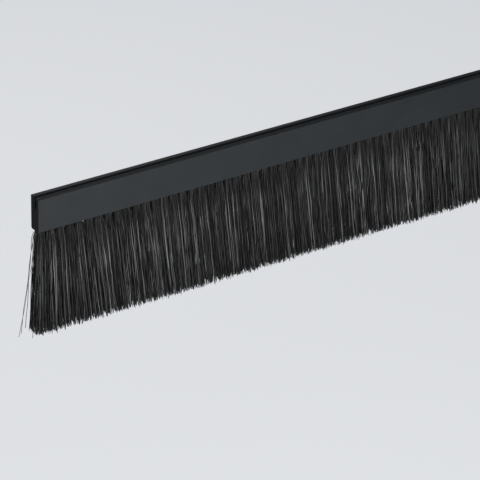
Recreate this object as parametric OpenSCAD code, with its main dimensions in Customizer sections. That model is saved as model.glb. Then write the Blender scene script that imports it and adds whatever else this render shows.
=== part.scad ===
// Clip-on brush strip: an extruded plastic carrier that pushes onto the edge of a metal
// sheet, with one row of punched bristle tufts hanging from its underside.
//
// X runs along the strip, Y from its front to its back, Z up. The origin is where the
// sheet's edge seats: the middle of the slot's floor, half way along the strip.

/* [Row of tufts] */
// Number of tufts in the row, which sets the strip's length
tuft_count = 58; // [12:1:58]
// Distance from one tuft to the next
tuft_pitch = 6; // [5.8:0.1:9]
// Distance from each end of the carrier to the nearest tuft's centre
end_margin = 3; // [2.9:0.1:12]

/* [Carrier] */
// Carrier from front to back
carrier_depth = 7.5; // [7:0.1:12]
// Solid foot that holds the tufts, below the slot's floor
foot_height = 12.8; // [12:0.1:20]
// Radius of the lower back corner
back_radius = 0.9; // [0.3:0.1:2]
// Radius of the carrier's other three outer corners
edge_radius = 0.35; // [0.1:0.05:0.35]

/* [Edge slot] */
// Height of the back wall above the slot's floor
slot_height = 7.2; // [6.6:0.1:12]
// Height that the front wall stands below the back wall
ledge_drop = 0.6; // [0.3:0.1:1.5]
// Front wall behind the visible face
front_wall = 1.85; // [1.5:0.05:2.2]
// Gap that a sheet is pushed through, between the lip and the back wall
grip_gap = 1.15; // [0.8:0.05:1.6]
// Height of the narrow seat at the bottom of the slot
seat_height = 0.5; // [0.2:0.1:1.5]
// Height of the slope that leads down into the seat
seat_slope = 1.9; // [1:0.1:3]
// Lip from front to back
lip_depth = 1.8; // [1.2:0.1:2]
// Lip from its underside to its crown
lip_height = 2.9; // [2.2:0.1:3.4]
// Lip's front set back from the visible face
lip_setback = 1.05; // [0.4:0.05:1.3]
// Lead-in cut on the back wall's inner edge
lead_in = 0.7; // [0.2:0.1:1.2]

/* [Tuft holes] */
// Diameter of the drilled holes
hole_d = 4.5; // [3.6:0.1:4.8]
// Depth of the drilled holes
hole_depth = 9.5; // [8:0.1:10.5]
// Gap left round a folded tuft in its hole
tuft_fit = 0.05; // [0.02:0.01:0.12]

/* [Anchors] */
// Height of the flat wire anchor
anchor_height = 2.4; // [1.2:0.1:3]
// Thickness of the flat wire anchor
anchor_thick = 0.4; // [0.25:0.05:0.7]
// Depth to which each end of the anchor bites into the hole's wall
anchor_bite = 0.3; // [0.1:0.05:0.4]
// Thickness of the tuft's fold above the anchor
fold_height = 1.6; // [0.8:0.1:2.2]

/* [Bristles] */
// Free length of the bristles below the carrier
bristle_length = 62; // [20:1:100]
// Most that a bristle's cut end falls short of that length
trim_scatter = 1.6; // [0:0.1:4]
// Thickness of one bristle
bristle_d = 0.46; // [0.3:0.02:0.5]
// Rings of bristles round the middle one of a tuft
bristle_rings = 3; // [2:1:3]
// Solid rim left between the outer bristles and the folded root's edge
bristle_rim = 0.1; // [0.05:0.05:0.2]
// Length over which a tuft opens out below its hole, until it meets its neighbours
neck_length = 9; // [4:0.5:15]
// Front to back size of a tuft at the end of its neck
neck_depth = 6.6; // [5:0.1:7.5]
// Front to back size of the brush at its tips
tip_depth = 12; // [8:0.5:20]
// Gap that keeps the tips of neighbouring tufts apart
tip_gap = 0.2; // [0.1:0.05:0.6]
// Most that a tuft's edge wanders sideways at the tips
tuft_wander = 0.6; // [0:0.05:0.8]
// Most that a tip strays sideways from its even place
stray_side = 0.12; // [0:0.02:0.14]
// Most that a tip strays to the front or back from its even place
stray_depth = 0.5; // [0:0.05:0.6]
// Sideways spread of the tips at each end of the strip
end_splay = 3.2; // [0:0.1:6]
// Number of tufts over which that spread dies away
splay_reach = 2.5; // [1:0.5:6]
// Distance by which the tips are combed to the right
comb_lean = 6; // [0:0.5:7]
// Number of tufts over which that lean grows from each end of the strip
lean_reach = 3; // [2.5:0.5:6]
// Sideways reach of the loose bristles at the first tuft
loose_reach = 7.5; // [2:0.5:12]
// Share of that reach by which one loose bristle differs from another
loose_spread = 0.15; // [0:0.05:0.3]

/* [Hidden] */
overlap = 1;                    // how far a cutting shape runs past the face that it cuts
root_embed = 1;                 // how far a bristle starts inside its folded root
neck_extra = 0.06;              // extra thickness of a bristle in its neck, which takes in the bend
bend_embed = 0.15;              // how far a bristle's lower stretch starts inside its neck
scatter_seed = 41;              // first number of the repeatable scatter
ring_turn = 17;                 // degrees that each ring of bristles is turned from the last
loose_bristles = [24, 26];      // the bristles of the first tuft that have sprung loose

strip_length = (tuft_count - 1) * tuft_pitch + 2 * end_margin;
first_tuft_x = -strip_length / 2 + end_margin;

slot_back = lip_setback + lip_depth + grip_gap;      // from the visible face to the back wall
front_y = -(slot_back - grip_gap / 2);               // the visible face
back_y = front_y + carrier_depth;
slot_back_y = front_y + slot_back;
front_wall_top = slot_height - ledge_drop;
foot_z = -foot_height;
tuft_y = (front_y + back_y) / 2;

fold_d = hole_d - 2 * tuft_fit;
anchor_width = hole_d + 2 * anchor_bite;
anchor_top_z = foot_z + hole_depth - fold_height;

neck_d = bristle_d + neck_extra;
outer_ring = (fold_d - neck_d) / 2 - bristle_rim;
ring_step = outer_ring / bristle_rings;
neck_half_width = (tuft_pitch - neck_d - tip_gap) / 2;
neck_half_depth = (neck_depth - neck_d) / 2;
tip_inset = bristle_d / 2 + stray_side + tip_gap / 2;
tip_half_depth = (tip_depth - bristle_d) / 2 - stray_depth;
edge_wander = rands(-tuft_wander, tuft_wander, tuft_count + 1, scatter_seed);

function tuft_name(i) = str("tuft_", i < 10 ? "0" : "", i);

// Centre of tuft i, counted from 1
function tuft_x(i) = first_tuft_x + (i - 1) * tuft_pitch;

// Sideways splay of the border after tuft i, strongest at the two ends of the row
function splay(i) = end_splay * (exp(-(tuft_count - i) / splay_reach) - exp(-i / splay_reach));

// Lean to the right of the border after tuft i, which dies away at the two ends of the row
function lean(i) = comb_lean * (1 - exp(-i / lean_reach)) * (1 - exp(-(tuft_count - i) / lean_reach));

// Border between the tips of tuft i and those of the next one
function tip_border(i) = tuft_x(i) + tuft_pitch / 2 + edge_wander[i] + splay(i) + lean(i);

// Places of a tuft's bristles in its mouth: one in the middle, and rings of 6, 12, 18 and so on
function ring_places() = concat(
    [[0, 0]],
    [for (ring = [1:bristle_rings]) for (k = [0:6 * ring - 1])
        let (turn = 60 * k / ring + ring_turn * ring)
        ring * ring_step * [cos(turn), sin(turn)]]
);

// Side view of the carrier, drawn with Y to the right and Z up
module carrier_profile() {
    difference() {
        union() {
            // foot
            translate([front_y, foot_z])
                square([carrier_depth, foot_height]);
            // back wall
            translate([slot_back_y, -overlap])
                square([back_y - slot_back_y, slot_height + overlap]);
            // front wall
            translate([front_y, -overlap])
                square([front_wall, front_wall_top + overlap]);
            seat_slope_profile();
            lip_profile();
        }
        // lead-in on the back wall's inner edge
        translate([slot_back_y, slot_height])
            rotate(45)
            square(lead_in * sqrt(2), center = true);
        // rounded outer corners
        translate([front_y, foot_z])
            corner_waste(edge_radius);
        translate([front_y, front_wall_top])
            rotate(-90)
            corner_waste(edge_radius);
        translate([back_y, slot_height])
            rotate(180)
            corner_waste(edge_radius);
        translate([back_y, foot_z])
            rotate(90)
            corner_waste(back_radius);
    }
}

// What rounding takes off a square corner, drawn for a corner with its solid up and to the right
module corner_waste(radius) {
    difference() {
        translate([-overlap, -overlap])
            square(radius + overlap);
        translate([radius, radius])
            circle(r = radius, $fn = 64);
    }
}

// Slope that narrows the slot to the sheet's seat
module seat_slope_profile() {
    seat_front = slot_back_y - grip_gap;
    wall_back = front_y + front_wall;
    polygon([
        [wall_back - overlap, -overlap],
        [seat_front, -overlap],
        [seat_front, seat_height],
        [wall_back, seat_height + seat_slope],
        [wall_back - overlap, seat_height + seat_slope]
    ]);
}

// Rounded lip that grips the sheet, level with the back wall's top
module lip_profile() {
    lip_y = front_y + lip_setback + lip_depth / 2;
    round_r = lip_depth / 2;
    crown_z = slot_height - round_r;
    heel_z = slot_height - lip_height + round_r;
    translate([lip_y, crown_z])
        circle(r = round_r, $fn = 64);
    translate([lip_y, heel_z])
        circle(r = round_r, $fn = 64);
    translate([lip_y - round_r, heel_z])
        square([lip_depth, crown_z - heel_z]);
}

// Flat piece of wire that is driven into hole i inside the fold of its tuft
module anchor(i) {
    translate([tuft_x(i) - anchor_width / 2, tuft_y - anchor_thick / 2, anchor_top_z - anchor_height])
        cube([anchor_width, anchor_thick, anchor_height]);
}

module carrier() {
    color("#33363a")
        difference() {
            translate([-strip_length / 2, 0, 0])
                rotate([90, 0, 90])
                linear_extrude(strip_length)
                carrier_profile();
            for (i = [1:tuft_count]) {
                translate([tuft_x(i), tuft_y, foot_z - overlap])
                    cylinder(d = hole_d, h = hole_depth + overlap, $fn = 48);
                anchor(i);
            }
        }
}

module tuft_anchors() {
    color("#b4b8bc")
        for (i = [1:tuft_count])
            anchor(i);
}

// Round rod from one point to another, started a little before the first
module rod(start, end, thickness, embed) {
    run = end - start;
    reach = norm(run);
    translate(start)
        rotate([0, acos(run[2] / reach), atan2(run[1], run[0])])
        translate([0, 0, -embed])
        cylinder(d = thickness, h = embed + reach, $fn = 16);
}

// Folded root in its hole, and the bristles that open out below it and hang to the tips
module tuft(i) {
    places = ring_places();
    scatter = rands(-1, 1, 3 * len(places), scatter_seed + i);
    left = tip_border(i - 1) + tip_inset;
    right = tip_border(i) - tip_inset;
    mouth = [tuft_x(i), tuft_y, foot_z];
    color("#1d1e20") {
        difference() {
            translate(mouth)
                cylinder(d = fold_d, h = hole_depth, $fn = 48);
            anchor(i);
        }
        for (k = [0:len(places) - 1]) {
            fan = places[k] / outer_ring;
            loose = i == 1 && len(search(k, loose_bristles)) > 0;
            bend = mouth + [fan[0] * neck_half_width, fan[1] * neck_half_depth, -neck_length];
            tip = [
                (left + right) / 2 + fan[0] * (right - left) / 2 + scatter[3 * k] * stray_side
                    - (loose ? loose_reach * (1 + loose_spread * scatter[3 * k]) : 0),
                tuft_y + fan[1] * tip_half_depth + scatter[3 * k + 1] * stray_depth,
                foot_z - bristle_length
            ];
            kept = 1 - trim_scatter * (1 + scatter[3 * k + 2]) / 2 / bristle_length;
            rod(mouth + [places[k][0], places[k][1], 0], bend, neck_d, root_embed);
            rod(bend, bend + kept * (tip - bend), bristle_d, bend_embed);
        }
    }
}

carrier();
tuft_anchors();
for (i = [1:tuft_count]) tuft(i);
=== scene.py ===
# %% [markdown]
# # A clip-on brush strip, dressed for the camera
#
# A brush strip closes a cable opening in a rack. A black plastic carrier clips onto the edge of
# a metal sheet, and a row of nylon tufts hangs from its underside. The carrier's shape comes
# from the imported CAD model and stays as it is. The CAD tufts are a few dozen stout rods each,
# which is right for weight and collision, but a real tuft has far more filaments, and finer
# ones. So this lesson gives the carrier its plastic, and grows the filaments with numpy, each
# tuft where its CAD solid stands.

import bpy
import numpy as np
from mathutils import Matrix, Vector


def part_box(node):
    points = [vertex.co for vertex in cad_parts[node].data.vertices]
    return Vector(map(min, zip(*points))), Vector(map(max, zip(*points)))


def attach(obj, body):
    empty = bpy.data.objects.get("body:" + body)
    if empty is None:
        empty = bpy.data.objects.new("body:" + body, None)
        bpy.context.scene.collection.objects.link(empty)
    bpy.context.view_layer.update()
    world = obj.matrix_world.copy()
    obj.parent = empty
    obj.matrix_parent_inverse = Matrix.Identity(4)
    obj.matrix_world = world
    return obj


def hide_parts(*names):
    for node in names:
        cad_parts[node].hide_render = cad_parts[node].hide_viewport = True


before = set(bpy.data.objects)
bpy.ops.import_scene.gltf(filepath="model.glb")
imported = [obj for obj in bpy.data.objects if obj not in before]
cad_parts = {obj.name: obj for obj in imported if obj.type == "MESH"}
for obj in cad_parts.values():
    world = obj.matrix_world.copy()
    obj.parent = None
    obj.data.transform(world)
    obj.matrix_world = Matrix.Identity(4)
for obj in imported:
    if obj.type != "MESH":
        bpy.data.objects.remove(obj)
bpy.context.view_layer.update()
scene = bpy.context.scene
MM = 0.001
FULL_TURN = 2 * np.pi


# %% [markdown]
# Every place in this scene is measured on the CAD model, so that the pieces fit it by
# themselves. The carrier's box gives the plane that the tufts leave, and each tuft's own
# corners give its root and the spread of its tips.

# %% Measure the carrier and the tufts
ROOT_BAND = 1.5 * MM  # corners further than this above the mouth belong to the root
TIP_BAND = 4 * MM  # corners nearer than this to the lowest one belong to the tips
LOOSE_SHARE = 6  # percent of the tips left out on each side, for bristles that sprang loose


def corners_of(node):
    """All mesh corners of a CAD node as an (n, 3) array in metres."""
    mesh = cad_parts[node].data
    flat = np.empty(3 * len(mesh.vertices), dtype=np.float32)
    mesh.vertices.foreach_get("co", flat)
    return flat.reshape(-1, 3).astype(float)


def measure_tuft(node, mouth_z):
    """Root centre and radius from the corners above the mouth, and the spread of the tips from
    the lowest corners. Left and right are percentiles, the loose share in from each side."""
    corners = corners_of(node)
    root = corners[corners[:, 2] > mouth_z + ROOT_BAND]
    tips = corners[corners[:, 2] < corners[:, 2].min() + TIP_BAND]
    low, high = root.min(axis=0), root.max(axis=0)
    return {
        "centre": (low[:2] + high[:2]) / 2,
        "radius": (high[1] - low[1]) / 2,
        "left": np.percentile(tips[:, 0], LOOSE_SHARE),
        "right": np.percentile(tips[:, 0], 100 - LOOSE_SHARE),
        "front": tips[:, 1].min(),
        "back": tips[:, 1].max(),
        "tip_z": tips[:, 2].min(),
    }


carrier_low = np.array(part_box("carrier")[0])
mouth_z = carrier_low[2]
tuft_names = sorted(
    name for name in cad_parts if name.startswith("tuft_") and name[5:].isdigit()
)
tufts = [measure_tuft(name, mouth_z) for name in tuft_names]
pitch = (tufts[-1]["centre"][0] - tufts[0]["centre"][0]) / (len(tufts) - 1)
free_length = mouth_z - min(tuft["tip_z"] for tuft in tufts)
print(len(tufts), "tufts, pitch", round(pitch / MM, 2), "mm")
print("free length", round(free_length / MM, 1), "mm")

# %% [markdown]
# The tips of neighbouring tufts touch, so the border between two tufts is half way between the
# right side of one and the left side of the next. At the two ends of the row the border is the
# tuft's own outer side.

# %% Borders between the tufts' tips
inner_borders = [(a["right"] + b["left"]) / 2 for a, b in zip(tufts[:-1], tufts[1:])]
tip_borders = np.array([tufts[0]["left"]] + inner_borders + [tufts[-1]["right"]])
print("tip borders from", round(tip_borders[0] / MM, 1), "to", round(tip_borders[-1] / MM, 1), "mm")

# %% [markdown]
# The camera stands to the left of the strip's front and above it, far off with a long lens, so
# that the strip runs away to the right with little perspective. Its place is written as the
# angles that it looks along and the point that it stands on.

# %% Camera
CAMERA_AZIMUTH, CAMERA_ELEVATION, CAMERA_ROLL = np.radians([-35.03, 27.745, 1.406])
CAMERA_PLACE = (-0.88966, -1.20983, 0.72192)
LENS_MM = 224.27
SENSOR_MM = 36
FAR_LIMIT = 20  # in metres


def turned_to(azimuth, elevation, roll):
    """Camera axes: right, up and back. Right is level at the azimuth, back points from the scene
    to the camera at the elevation, up is square to both, and the roll turns right and up about
    back."""
    right = np.array([np.cos(azimuth), np.sin(azimuth), 0.0])
    level_back = np.array([np.sin(azimuth), -np.cos(azimuth), 0.0])
    back = level_back * np.cos(elevation) + np.array([0, 0, np.sin(elevation)])
    up = np.cross(back, right)
    rolled_right = right * np.cos(roll) + up * np.sin(roll)
    rolled_up = up * np.cos(roll) - right * np.sin(roll)
    return rolled_right, rolled_up, back


axes = turned_to(CAMERA_AZIMUTH, CAMERA_ELEVATION, CAMERA_ROLL)
camera_data = bpy.data.cameras.new("camera")
camera_data.lens = LENS_MM
camera_data.sensor_width = SENSOR_MM
camera_data.clip_end = FAR_LIMIT
camera = bpy.data.objects.new("camera", camera_data)
rows = [[axis[i] for axis in axes] + [CAMERA_PLACE[i]] for i in range(3)]
camera.matrix_world = Matrix(rows + [[0, 0, 0, 1]])
scene.collection.objects.link(camera)
scene.camera = camera
print("camera at", [round(float(v), 3) for v in camera.location])

# %% [markdown]
# Black plastic is lit by what it mirrors as much as by its own colour, so the room is kept dim
# for it. The key lamp stands in front, a little below the carrier, where it reaches the strands
# but its mirror image stays off the carrier's face. A broad weak lamp fills from the upper
# left, and another lights the back.

# %% Lamps
LIT_X = -30 * MM  # the lamps face this place along the strip, the middle of what the camera sees


def area_lamp(name, place, target, size, power):
    """Square lamp at a place, turned so that it faces the target."""
    data = bpy.data.lights.new(name, "AREA")
    data.shape = "SQUARE"
    data.size = size
    data.energy = power
    lamp = bpy.data.objects.new(name, data)
    lamp.location = place
    lamp.rotation_euler = (Vector(target) - Vector(place)).to_track_quat("-Z", "Y").to_euler()
    scene.collection.objects.link(lamp)


def from_strip(azimuth, elevation, distance):
    """Place at a distance from the lit place on the strip's front, along
    (sin a cos e, -cos a cos e, sin e): azimuth a is 0 straight in front and turns towards +X."""
    a, e = np.radians(azimuth), np.radians(elevation)
    lit = np.array([LIT_X, carrier_low[1], mouth_z])
    return lit + distance * np.array([np.sin(a) * np.cos(e), -np.cos(a) * np.cos(e), np.sin(e)])


lit_place = from_strip(0, 0, 0)
area_lamp("key_lamp", from_strip(-6, -2, 1.15), lit_place, 0.30, 8.0)
area_lamp("fill_lamp", from_strip(-30, 25, 1.4), lit_place, 0.9, 3.0)
area_lamp("back_lamp", from_strip(170, 40, 1.4), lit_place, 0.9, 4.0)
print("lamps face", np.round(lit_place / MM, 1), "mm")

# %% [markdown]
# The pale background isn't more light on the object. It is what the world shows to the camera
# alone, and a floor far below that glows for the camera alone.

# %% World and floor
ROOM_LIGHT = ((0.80, 0.86, 0.95, 1), 0.10)  # colour and strength on the object
SEEN_LIGHT = ((0.86, 0.87, 0.88, 1), 1.0)  # colour and strength for the camera
FLOOR_GAP = 340 * MM  # from the longest tips down to the floor
FLOOR_HALF = 4  # half of the floor's side, in metres


def background(nodes, colour, strength):
    """Background shader of one colour and strength, as its output socket."""
    shader = nodes.new("ShaderNodeBackground")
    shader.inputs["Color"].default_value = colour
    shader.inputs["Strength"].default_value = strength
    return shader.outputs["Background"]


world = bpy.data.worlds.new("studio")
world.use_nodes = True
scene.world = world
nodes, links = world.node_tree.nodes, world.node_tree.links
nodes.clear()
ray_kind = nodes.new("ShaderNodeLightPath")
pick = nodes.new("ShaderNodeMixShader")
out = nodes.new("ShaderNodeOutputWorld")
links.new(ray_kind.outputs["Is Camera Ray"], pick.inputs["Fac"])
links.new(background(nodes, *ROOM_LIGHT), pick.inputs[1])
links.new(background(nodes, *SEEN_LIGHT), pick.inputs[2])
links.new(pick.outputs[0], out.inputs["Surface"])

floor_z = mouth_z - free_length - FLOOR_GAP
floor_mesh = bpy.data.meshes.new("floor")
floor_corners = [(-1, -1), (1, -1), (1, 1), (-1, 1)]
floor_mesh.from_pydata(
    [(x * FLOOR_HALF, y * FLOOR_HALF, floor_z) for x, y in floor_corners], [], [(0, 1, 2, 3)]
)
floor = bpy.data.objects.new("floor", floor_mesh)
scene.collection.objects.link(floor)
floor_paint = bpy.data.materials.new("pale_floor")
floor_paint.use_nodes = True
paint = floor_paint.node_tree.nodes["Principled BSDF"]
paint.inputs["Base Color"].default_value = (0.72, 0.73, 0.74, 1)
paint.inputs["Roughness"].default_value = 0.9
paint.inputs["Specular IOR Level"].default_value = 0.2
paint.inputs["Emission Color"].default_value = (0.50, 0.51, 0.53, 1)
seen_by = floor_paint.node_tree.nodes.new("ShaderNodeLightPath")
floor_paint.node_tree.links.new(
    seen_by.outputs["Is Camera Ray"], paint.inputs["Emission Strength"]
)
floor_mesh.materials.append(floor_paint)
print("floor at", round(float(floor_z) / MM, 1), "mm")

# %% [markdown]
# Extruded plastic, drawn wire and drawn nylon share one kind of mark: fine streaks that run the
# way the material was pulled. One node group makes them for all three. It stretches a noise
# along the pulled direction, so each material only says how many streaks it wants per metre
# along each axis.

# %% Shader group: streaks along the pulled direction
def new_group(name, inputs, outputs):
    """Node group with named sockets; inputs are (name, kind, value), outputs are (name, kind)."""
    group = bpy.data.node_groups.new(name, "ShaderNodeTree")
    for label, kind, value in inputs:
        socket = group.interface.new_socket(label, in_out="INPUT", socket_type=kind)
        if value is not None:
            socket.default_value = value
    for label, kind in outputs:
        group.interface.new_socket(label, in_out="OUTPUT", socket_type=kind)
    return group, group.nodes.new("NodeGroupInput"), group.nodes.new("NodeGroupOutput")


streaks, given, result = new_group(
    "drawn_streaks",
    [
        ("Coordinates", "NodeSocketVector", None),
        ("Per metre", "NodeSocketVector", (10, 2000, 2000)),
        ("Contrast", "NodeSocketFloat", 1.0),
    ],
    [("Streak", "NodeSocketFloat")],
)
stretch = streaks.nodes.new("ShaderNodeVectorMath")
stretch.operation = "MULTIPLY"
noise = streaks.nodes.new("ShaderNodeTexNoise")
noise.inputs["Scale"].default_value = 1.0
noise.inputs["Detail"].default_value = 3.0
noise.inputs["Roughness"].default_value = 0.6
centre = streaks.nodes.new("ShaderNodeMath")
centre.operation = "SUBTRACT"
centre.inputs[1].default_value = 0.5
spread = streaks.nodes.new("ShaderNodeMath")
spread.operation = "MULTIPLY_ADD"
spread.inputs[2].default_value = 0.5
spread.use_clamp = True
streaks.links.new(given.outputs["Coordinates"], stretch.inputs[0])
streaks.links.new(given.outputs["Per metre"], stretch.inputs[1])
streaks.links.new(stretch.outputs[0], noise.inputs["Vector"])
streaks.links.new(noise.outputs["Fac"], centre.inputs[0])
streaks.links.new(centre.outputs[0], spread.inputs[0])
streaks.links.new(given.outputs["Contrast"], spread.inputs[1])
streaks.links.new(spread.outputs[0], result.inputs["Streak"])
print("group", streaks.name, "with", len(streaks.nodes), "nodes")

# %% [markdown]
# Handling leaves faint cloudy patches on black plastic, a little paler or darker than the rest.
# The second group makes them for the carrier, as a large soft noise broken up by a finer one.

# %% Shader group: handled patches
patches, given, result = new_group(
    "handled_patches",
    [
        ("Coordinates", "NodeSocketVector", None),
        ("Patches per metre", "NodeSocketFloat", 60.0),
    ],
    [("Patch", "NodeSocketFloat")],
)
cloud = patches.nodes.new("ShaderNodeTexNoise")
cloud.inputs["Detail"].default_value = 5.0
cloud.inputs["Roughness"].default_value = 0.65
contrast = patches.nodes.new("ShaderNodeMapRange")
contrast.inputs["From Min"].default_value = 0.35
contrast.inputs["From Max"].default_value = 0.68
patches.links.new(given.outputs["Coordinates"], cloud.inputs["Vector"])
patches.links.new(given.outputs["Patches per metre"], cloud.inputs["Scale"])
patches.links.new(cloud.outputs["Fac"], contrast.inputs["Value"])
patches.links.new(contrast.outputs["Result"], result.inputs["Patch"])
print("group", patches.name, "with", len(patches.nodes), "nodes")

# %% [markdown]
# A material reads its pattern in metres from Object coordinates, puts it through the groups, and
# spreads the masks over colour, roughness and a fine bump. Five small helpers keep that short.

# %% Helpers for the materials
def new_material(name):
    """New material, its node tree, its Principled shader and its Object coordinates."""
    material = bpy.data.materials.new(name)
    material.use_nodes = True
    tree = material.node_tree
    where = tree.nodes.new("ShaderNodeTexCoord").outputs["Object"]
    return material, tree, tree.nodes["Principled BSDF"], where


def mask_from(tree, group, coordinates, **values):
    """The group as a node, fed with coordinates and the given input values: its mask socket."""
    node = tree.nodes.new("ShaderNodeGroup")
    node.node_tree = group
    tree.links.new(coordinates, node.inputs["Coordinates"])
    for label, value in values.items():
        node.inputs[label.replace("_", " ")].default_value = value
    return node.outputs[0]


def ramp_to(socket, mask, low, high):
    """Carries a 0 to 1 mask onto a socket: low where it is 0, high where it is 1."""
    tree = socket.id_data
    if isinstance(low, tuple):
        mix = tree.nodes.new("ShaderNodeMix")
        mix.data_type = "RGBA"
        mix.inputs["A"].default_value = low + (1,)
        mix.inputs["B"].default_value = high + (1,)
        tree.links.new(mask, mix.inputs["Factor"])
        tree.links.new(mix.outputs["Result"], socket)
    else:
        spread = tree.nodes.new("ShaderNodeMapRange")
        spread.inputs["To Min"].default_value = low
        spread.inputs["To Max"].default_value = high
        tree.links.new(mask, spread.inputs["Value"])
        tree.links.new(spread.outputs["Result"], socket)


def bump_to(socket, height, strength, distance):
    """Bump from a height mask onto a normal socket; distance is the real depth in metres."""
    tree = socket.id_data
    bump = tree.nodes.new("ShaderNodeBump")
    bump.inputs["Strength"].default_value = strength
    bump.inputs["Distance"].default_value = distance
    tree.links.new(height, bump.inputs["Height"])
    tree.links.new(bump.outputs["Normal"], socket)


def dress(node, material):
    """Puts one material on a CAD node, in place of those that it came with."""
    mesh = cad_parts[node].data
    mesh.materials.clear()
    mesh.materials.append(material)
    print(node, "wears", material.name)


# %% [markdown]
# The carrier is black extruded plastic with a satin skin. Its die leaves lines along the strip a
# fraction of a millimetre apart, and the skin is a little cloudy. The colour hardly changes;
# nearly all of the look is in the roughness and the bump.

# %% Carrier plastic
PLASTIC_DARK, PLASTIC_PALE = (0.011, 0.0150, 0.0175), (0.015, 0.0195, 0.0225)
DIE_LINE_DEPTH = 0.04 * MM

carrier_plastic, tree, shader, where = new_material("carrier_plastic")
die_lines = mask_from(tree, streaks, where, Per_metre=(6, 1800, 1800), Contrast=1.6)
clouds = mask_from(tree, patches, where, Patches_per_metre=70.0)
ramp_to(shader.inputs["Base Color"], clouds, PLASTIC_DARK, PLASTIC_PALE)
ramp_to(shader.inputs["Roughness"], die_lines, 0.52, 0.64)
bump_to(shader.inputs["Normal"], die_lines, 0.35, DIE_LINE_DEPTH)
dress("carrier", carrier_plastic)

# %% [markdown]
# The anchors are short pieces of flat steel wire inside the foot. Nothing of them shows, but a
# part can be taken apart, so they get their drawn wire finish too.

# %% Anchor wire
STEEL_DARK, STEEL_PALE = (0.48, 0.49, 0.50), (0.62, 0.63, 0.64)
WIRE_LINE_DEPTH = 0.01 * MM

anchor_wire, tree, shader, where = new_material("anchor_wire")
wire_lines = mask_from(tree, streaks, where, Per_metre=(9000, 9000, 300), Contrast=1.4)
ramp_to(shader.inputs["Base Color"], wire_lines, STEEL_DARK, STEEL_PALE)
ramp_to(shader.inputs["Roughness"], wire_lines, 0.28, 0.45)
bump_to(shader.inputs["Normal"], wire_lines, 0.3, WIRE_LINE_DEPTH)
shader.inputs["Metallic"].default_value = 1.0
dress("tuft_anchors", anchor_wire)

# %% [markdown]
# Each nylon filament is drawn through a die, so it is smooth and satin, with faint lines along its
# length. Each filament carries its own tone, which changes along it: partly a random tone of its
# own, mostly painted highlight and shade, since no two catch the light alike. The tone comes as an
# attribute of the mesh and picks a colour from near black to a pale grey, whose pale end is painted
# highlight.

# %% Bristle nylon
# The pale colour is painted highlight on the strands, far paler than the black nylon itself.
NYLON_DARK, NYLON_PALE_AND_HIGHLIGHT = (0.002, 0.0021, 0.0022), (0.36, 0.362, 0.366)
DRAW_LINE_DEPTH = 0.02 * MM

bristle_nylon, tree, shader, where = new_material("bristle_nylon")
tone_and_painted_light = tree.nodes.new("ShaderNodeAttribute")
tone_and_painted_light.attribute_name = "tone_and_painted_light"
draw_lines = mask_from(tree, streaks, where, Per_metre=(3500, 3500, 60), Contrast=1.8)
ramp_to(shader.inputs["Base Color"], tone_and_painted_light.outputs["Fac"], NYLON_DARK, NYLON_PALE_AND_HIGHLIGHT)
ramp_to(shader.inputs["Roughness"], draw_lines, 0.24, 0.42)
bump_to(shader.inputs["Normal"], draw_lines, 0.2, DRAW_LINE_DEPTH)
print("filaments wear", bristle_nylon.name)

# %% [markdown]
# ## Growing a tuft
#
# A punched tuft starts as a tight round bundle and opens until it meets its neighbours. On paper
# that is a map from a disc, the hole, to a rectangle, the tuft's share of the curtain. Every
# filament keeps its place in the bundle: one near the disc's left stays near the left.
#
# The places on the disc come from the sunflower pattern, which packs a disc evenly. The map
# from disc to square is the elliptical one, which has no seams or sharp turns.

# %% Places on the disc and in the square
FILAMENTS = 150
FILAMENT_D = 0.35 * MM
GOLDEN_TURN = np.pi * (3 - np.sqrt(5))


def sunflower(count, turn):
    """Even places on a unit disc: place k sits at radius sqrt((k + 1/2) / count) and angle
    k times the golden turn, plus a turn of the whole pattern."""
    k = np.arange(count)
    radius = np.sqrt((k + 0.5) / count)
    angle = k * GOLDEN_TURN + turn
    return np.stack([radius * np.cos(angle), radius * np.sin(angle)], axis=1)


def root_of(value):
    """Square root of a value, or 0 where rounding has taken it below 0."""
    return np.sqrt(np.maximum(value, 0))


def disc_to_square(disc):
    """Elliptical map from the unit disc to the square from -1 to 1. With s = x^2 - y^2, the
    place across is half of sqrt(2 + s + 2 sqrt(2) x) - sqrt(2 + s - 2 sqrt(2) x). The other
    place is the same with y for x and -s for s."""
    x, y = disc[:, 0], disc[:, 1]
    s, r = x**2 - y**2, 2 * np.sqrt(2)
    u = (root_of(2 + s + r * x) - root_of(2 + s - r * x)) / 2
    v = (root_of(2 - s + r * y) - root_of(2 - s - r * y)) / 2
    return np.stack([u, v], axis=1)


sample = disc_to_square(sunflower(FILAMENTS, 0.0))
spans = np.round([sample.min(axis=0), sample.max(axis=0)], 2)
print(FILAMENTS, "filaments, square spans", spans[0], "to", spans[1])

# %% [markdown]
# Filaments don't stay evenly spread. Static, trimming and handling draw them into strands that
# lean the same way, which is what the eye reads as separate hairs. A drift made of a few long
# waves does this: it moves a filament by its place alone, so neighbours move together, and
# where the waves squeeze, a strand forms. It grows from nothing at the hole to its full size
# before the tips.

# %% Drift that gathers filaments into strands
WAVES = 7
WAVE_REACH = 0.10 * MM
WAVE_LENGTHS = (1.2, 3.4)  # shortest and longest, in mm
WAVE_FALL = 45 * MM  # the quickest wave shifts by one length over this drop

wave_source = np.random.default_rng(11)
wave_turn = wave_source.uniform(0, FULL_TURN, WAVES)
wave_length = wave_source.uniform(*WAVE_LENGTHS, WAVES) * MM
wave_fall = wave_source.uniform(-1, 1, WAVES) * FULL_TURN / WAVE_FALL
wave_phase = wave_source.uniform(0, FULL_TURN, WAVES)


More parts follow.
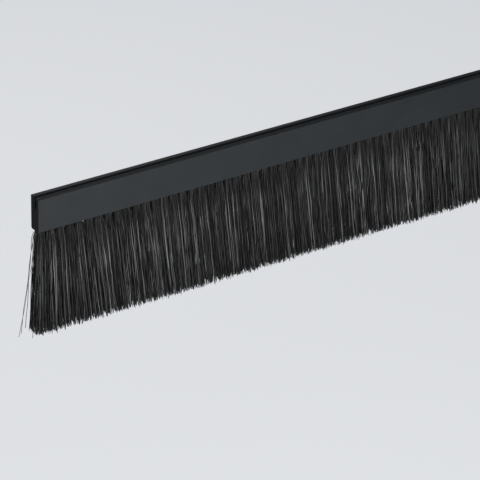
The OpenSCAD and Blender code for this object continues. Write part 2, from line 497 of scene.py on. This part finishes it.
def strand_drift(x, y, z):
    """Sideways drift (dx, dy) at each point: the sum over the waves of reach times
    sin(2 pi (x cos a + y sin a) / length + fall z + phase), pushed along the wave's own
    direction a."""
    a = wave_turn.reshape(-1, *([1] * x.ndim))
    length, fall, phase = (v.reshape(a.shape) for v in (wave_length, wave_fall, wave_phase))
    across = x * np.cos(a) + y * np.sin(a)
    push = WAVE_REACH * np.sin(FULL_TURN * across / length + fall * z + phase)
    return (push * np.cos(a)).sum(axis=0), (push * np.sin(a)).sum(axis=0)


print(WAVES, "waves,", np.round(wave_length.min() / MM, 2), "mm and longer")

# %% [markdown]
# Now the path of each filament, as rows of points from inside the hole to the tip. It is the sum
# of a few plain ideas: the opening from disc to rectangle, a lean of its own, a long slow crimp
# left from the spool, the drift, and a trim that isn't perfectly level.

# %% Paths of one tuft's filaments
DROPS = np.array([-3.0, 0.0, 2.5, 5.5, 9.0, 14.0, 21.0, 29.0, 38.0, 47.0, 55.0, 62.0]) * MM
JITTER = 0.25  # scatter of a place on the disc, in units of 1 / sqrt(count)
OPENING = 6.0 * MM  # drop over which a bundle opens
OPENING_SCATTER = (-0.1, 0.4)  # mean and spread of the logarithm of a filament's factor on it
BACK_OPENING = 0.4  # the back half opens over a shorter drop
OPENING_POWER = 1.3
NECK_HALF_DEPTH = 3.1 * MM
TIP_MARGIN = 0.4 * MM  # inside the CAD tips, front and back, before lean and drift
WIDENING_POWERS = (1.15, 0.8)  # across and front to back
TRIM = 1.3 * MM
TRIM_POWER = 1.5
LEAN = (0.6 * MM, 0.7 * MM)
LEAN_POWER = 1.3
CRIMP = 0.24 * MM
CRIMP_LENGTHS = (15 * MM, 34 * MM)
CRIMP_START = 12 * MM
DRIFT_GROWTH = 1.6  # the drift has its full size at 1 / 1.6 of the length


def opened_share(below, opening):
    """Share of the way from disc to rectangle at a drop: 1 - exp(-(drop / opening)^power)."""
    return 1 - np.exp(-((below / opening) ** OPENING_POWER))


def widened(root, neck, tip, share, along, power):
    """Place on one axis: (1 - share) of the root's, and the share of a place that goes from the
    neck's to the tip's as along^power."""
    return root * (1 - share) + (neck + (tip - neck) * along**power) * share


def slow_wave(source, drop, lengths, count):
    """Sine of 2 pi drop / length + phase, with a length and a phase of its own for each of the
    filaments."""
    length = source.uniform(*lengths, (count, 1))
    return np.sin(FULL_TURN * drop / length + source.uniform(0, FULL_TURN, (count, 1)))


def tuft_paths(tuft, left, right, count, source):
    """Points of every filament as a (filaments, rows, 3) array. Each filament opens from its
    place on the disc to its place in a rectangle, over an opening of its own that is shorter in
    the back half, which closes the view between the bundles, and twice as long from front to
    back. The rectangle goes from the pitch at the neck to the borders at the tips. Lean, crimp
    and drift grow with the drop."""
    disc = sunflower(count, source.uniform(0, FULL_TURN))
    disc = disc + source.normal(0, JITTER / np.sqrt(count), disc.shape)
    disc = disc / np.maximum(np.hypot(disc[:, 0], disc[:, 1]), 1)[:, None]
    square = disc_to_square(disc)

    trim = source.uniform(0, 1, count) ** TRIM_POWER * TRIM
    reach = (free_length - trim) / free_length
    t = np.where(DROPS[None, :] > 0, DROPS[None, :] * reach[:, None], DROPS[None, :])
    below = np.maximum(t, 0)
    along = below / free_length
    opening = OPENING * np.exp(source.normal(*OPENING_SCATTER, (count, 1)))
    opening = opening * np.where(disc[:, 1:] > 0, BACK_OPENING, 1.0)

    tip_half_depth = (tuft["back"] - tuft["front"]) / 2 - TIP_MARGIN
    tip_centre = np.array([(left + right) / 2, (tuft["front"] + tuft["back"]) / 2])
    root = tuft["centre"] + disc * (tuft["radius"] - FILAMENT_D / 2)
    neck = tuft["centre"] + square * [pitch / 2, NECK_HALF_DEPTH]
    tip = tip_centre + square * [(right - left) / 2, tip_half_depth]
    shares = opened_share(below, opening), opened_share(below, 2 * opening)
    x, y = (
        widened(root[:, k, None], neck[:, k, None], tip[:, k, None], shares[k], along, power)
        for k, power in enumerate(WIDENING_POWERS)
    )

    lean = source.normal(0, 1, (count, 2)) * LEAN
    x = x + lean[:, :1] * along**LEAN_POWER
    y = y + lean[:, 1:] * along**LEAN_POWER

    turn = source.uniform(0, FULL_TURN, (count, 1))
    crimp = CRIMP * slow_wave(source, below, CRIMP_LENGTHS, count)
    crimp = crimp * np.minimum(below / CRIMP_START, 1)
    x = x + crimp * np.cos(turn)
    y = y + crimp * np.sin(turn)

    drift_x, drift_y = strand_drift(x, y, below)
    grown = np.minimum(along * DRIFT_GROWTH, 1)
    return np.stack([x + drift_x * grown, y + drift_y * grown, mouth_z - t], axis=2)


print(len(DROPS), "rows from", round(DROPS[0] / MM, 1), "to", round(DROPS[-1] / MM, 1), "mm")

# %% [markdown]
# Light doesn't fall on a brush evenly, and here that light and shade is painted into the filaments'
# colour. Filaments of one strand get a painted highlight together, each one has a painted glint
# along some stretches of its length and not along others, and the necks are painted dim between the
# bundles while the brush is painted brightest a little way below them. One number for each corner,
# the tone, carries all of that painted light and shade to the nylon material.

# %% Tone of each filament along its length, with painted light and shade
TONE_WAVES = 6
TONE_LENGTHS = (1.3, 2.4)  # shortest and longest, in mm
STRAND_WEIGHT, OWN_WEIGHT = 0.75, 0.65
TONE_MEAN, TONE_SPREAD, TONE_LEAST, TONE_POWER = 0.38, 0.32, 0.05, 2.8
# Painted glint: brighter and darker stretches along each filament stand for highlights.
GLINT = 0.45
GLINT_LENGTHS = (16 * MM, 40 * MM)
# Painted light and shade by drop below the mouth: dim at the necks, brightest about 18 mm down.
LIGHT_DROPS = np.array([0, 6, 10, 18, 30, 45, 62]) * MM
LIGHT_SHARES = [0.12, 0.16, 0.40, 1.0, 0.90, 0.74, 0.60]

tone_source = np.random.default_rng(23)
tone_turn = tone_source.uniform(0, FULL_TURN, TONE_WAVES)
tone_length = tone_source.uniform(*TONE_LENGTHS, TONE_WAVES) * MM
tone_phase = tone_source.uniform(0, FULL_TURN, TONE_WAVES)


def filament_tones(paths, source):
    """Tone from 0 to 1 at each row. A strand value, waves over the filament's place half way
    down, and a value of its own are added, clipped and raised to a power, so that few filaments
    are bright: partly a random tone, mostly painted highlight. That is multiplied by a slow painted
    glint along the length and by a painted share of light for the drop, dim at the necks."""
    count, rows = paths.shape[:2]
    middle = paths[:, rows // 2, :2]
    across = middle[:, :1] * np.cos(tone_turn) + middle[:, 1:] * np.sin(tone_turn)
    waves = np.sin(FULL_TURN * across / tone_length + tone_phase)
    strand = waves.sum(axis=1) / np.sqrt(TONE_WAVES / 2)
    mixed = STRAND_WEIGHT * strand + OWN_WEIGHT * source.normal(0, 1, count)
    base = np.clip(TONE_MEAN + TONE_SPREAD * mixed, TONE_LEAST, 1) ** TONE_POWER
    below = np.maximum(mouth_z - paths[:, :, 2], 0)
    glint = 1 + GLINT * slow_wave(source, below, GLINT_LENGTHS, count)
    light = np.interp(below, LIGHT_DROPS, LIGHT_SHARES)
    return np.clip(base[:, None] * glint * light, 0, 1)


print(TONE_WAVES, "waves of tone,", np.round(tone_length.min() / MM, 2), "mm and longer")

# %% [markdown]
# A path becomes a filament by carrying a small ring of corners along it. Filaments hang nearly
# straight down, so every ring can stay level, which keeps the cut ends level too, as a knife
# leaves them. Four sides are enough for something this thin once it is shaded smooth.

# %% From paths to a mesh
SIDES = 4


def filament_mesh(name, paths, widths, tones):
    """Tubes along the paths. Corner s of a row is the path's point plus half the width times
    (cos, sin) of the side's angle. Sides are quads between rows, and each end is closed by one
    level face."""
    count, rows = paths.shape[:2]
    angle = FULL_TURN * np.arange(SIDES) / SIDES
    ring = np.stack([np.cos(angle), np.sin(angle), np.zeros(SIDES)], axis=1)
    corners = paths[:, :, None, :] + widths[:, :, None, None] / 2 * ring
    number = np.arange(count * rows * SIDES).reshape(count, rows, SIDES)
    after = np.roll(number, -1, axis=2)
    quads = np.stack([number[:, :-1], number[:, 1:], after[:, 1:], after[:, :-1]], axis=3)
    tops, ends = number[:, 0], number[:, -1, ::-1]

    quad_count, cap_count = quads.size // 4, 2 * count
    corner_list = np.concatenate([quads.reshape(-1), tops.reshape(-1), ends.reshape(-1)])
    sizes = np.repeat([4, SIDES], [quad_count, cap_count])
    smooth = np.repeat([True, False], [quad_count, cap_count])
    corner_tones = np.broadcast_to(tones[:, :, None], number.shape)

    mesh = bpy.data.meshes.new(name)
    mesh.vertices.add(number.size)
    mesh.vertices.foreach_set("co", corners.reshape(-1).astype(np.float32))
    mesh.loops.add(len(corner_list))
    mesh.loops.foreach_set("vertex_index", corner_list.astype(np.int32))
    mesh.polygons.add(len(sizes))
    mesh.polygons.foreach_set("loop_start", (np.cumsum(sizes) - sizes).astype(np.int32))
    mesh.polygons.foreach_set("use_smooth", smooth)
    # This attribute carries the tone, with its painted highlight and shade, to the nylon's colour.
    tone_and_painted_light = mesh.attributes.new("tone_and_painted_light", "FLOAT", "POINT")
    tone_and_painted_light.data.foreach_set("value", corner_tones.reshape(-1).astype(np.float32))
    mesh.update(calc_edges=True)
    return mesh


print("each filament has", SIDES, "sides and", len(DROPS), "rows")

# %% [markdown]
# At last the tufts themselves. Each one is its own piece and stands for its own CAD node, so a
# tuft can be taken out of the part and still be whole. Its seed comes from its place in the row,
# so the brush grows the same way each time. The first tuft also has a few filaments that have
# sprung loose at the open end of the row.

# %% Grow all tufts
FIRST_SEED = 100
WIDTH_RANGE = (0.88, 1.1)  # of the filament's diameter
SPRUNG_PLACES = [2, 5, 9]  # counted from the leftmost tip
SPRUNG_REACH = np.array([9.5, 6.0, 3.0]) * MM
SPRUNG_POWER = 1.15


def spring_loose(paths):
    """Bends a few of the leftmost filaments outwards, by reach times (drop / length)^power."""
    sprung = np.argsort(paths[:, -1, 0])[SPRUNG_PLACES]
    bow = np.maximum(mouth_z - paths[sprung, :, 2], 0) / free_length
    paths[sprung, :, 0] -= SPRUNG_REACH[:, None] * bow**SPRUNG_POWER


triangles = 0
for index, (name, tuft) in enumerate(zip(tuft_names, tufts)):
    source = np.random.default_rng(FIRST_SEED + index)
    paths = tuft_paths(tuft, tip_borders[index], tip_borders[index + 1], FILAMENTS, source)
    if index == 0:
        spring_loose(paths)
    widths = np.full(paths.shape[:2], FILAMENT_D) * source.uniform(*WIDTH_RANGE, (FILAMENTS, 1))
    mesh = filament_mesh("bristles_" + name[5:], paths, widths, filament_tones(paths, source))
    mesh.materials.append(bristle_nylon)
    piece = bpy.data.objects.new(mesh.name, mesh)
    scene.collection.objects.link(piece)
    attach(piece, "root")
    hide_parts(name)
    triangles += len(mesh.loops) - 2 * len(mesh.polygons)
print(len(tufts), "tufts of", FILAMENTS, "filaments,", triangles, "triangles")

# %% [markdown]
# The last cell sets the Standard view transform.

# %% View transform
scene.view_settings.view_transform = "Standard"
